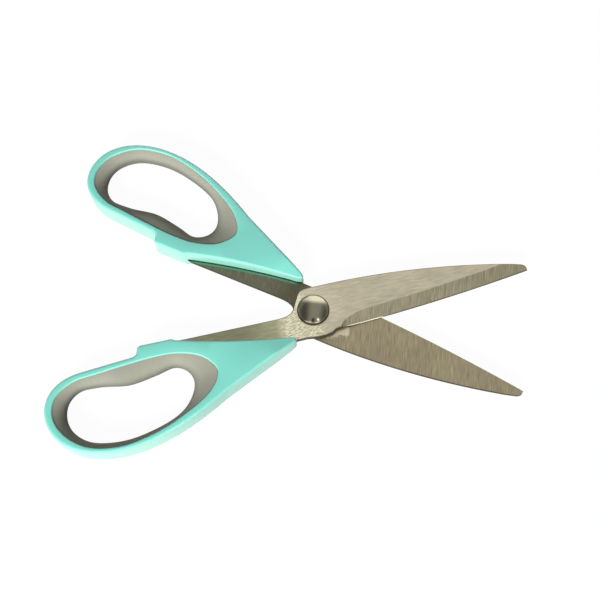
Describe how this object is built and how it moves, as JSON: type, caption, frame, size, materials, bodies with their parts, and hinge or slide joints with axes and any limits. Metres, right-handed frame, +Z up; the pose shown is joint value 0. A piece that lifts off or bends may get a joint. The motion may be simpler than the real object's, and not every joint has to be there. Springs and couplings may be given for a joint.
{
  "type": "household scissors",
  "caption": "Household scissors shown open: ground steel blades on a domed rivet, mint plastic handles with stop blocks and soft grey grip liners in the finger loops.",
  "frame": {"origin": "middle of the footprint on the table, under the long axis", "axes": "+X towards the blade tips, along the long axis; +Y towards the rear half's handle; +Z up, along the rivet"},
  "size_m": [0.192, 0.139, 0.0115],
  "materials": {
    "blade_steel": "satin ground stainless steel",
    "pivot_steel": "polished",
    "handle_plastic": "semi-gloss mint moulding",
    "grip_rubber": "matt warm grey soft moulding"
  },
  "bodies": {
    "rear_half": {"rear_blade": "blade_steel", "rear_handle": "handle_plastic", "rear_grip": "grip_rubber", "pivot_pin": "pivot_steel", "pivot_barrel": "pivot_steel", "pivot_washer": "blade_steel"},
    "front_half": {"front_blade": "blade_steel", "front_handle": "handle_plastic", "front_grip": "grip_rubber"}
  },
  "joints": [
    {"name": "blade_pivot", "type": "hinge", "parent": "rear_half", "child": "front_half", "pos_m": [0.00808, 0, 0.00575], "axis": [0, 0, 1], "range_deg": [-36, 48]}
  ]
}
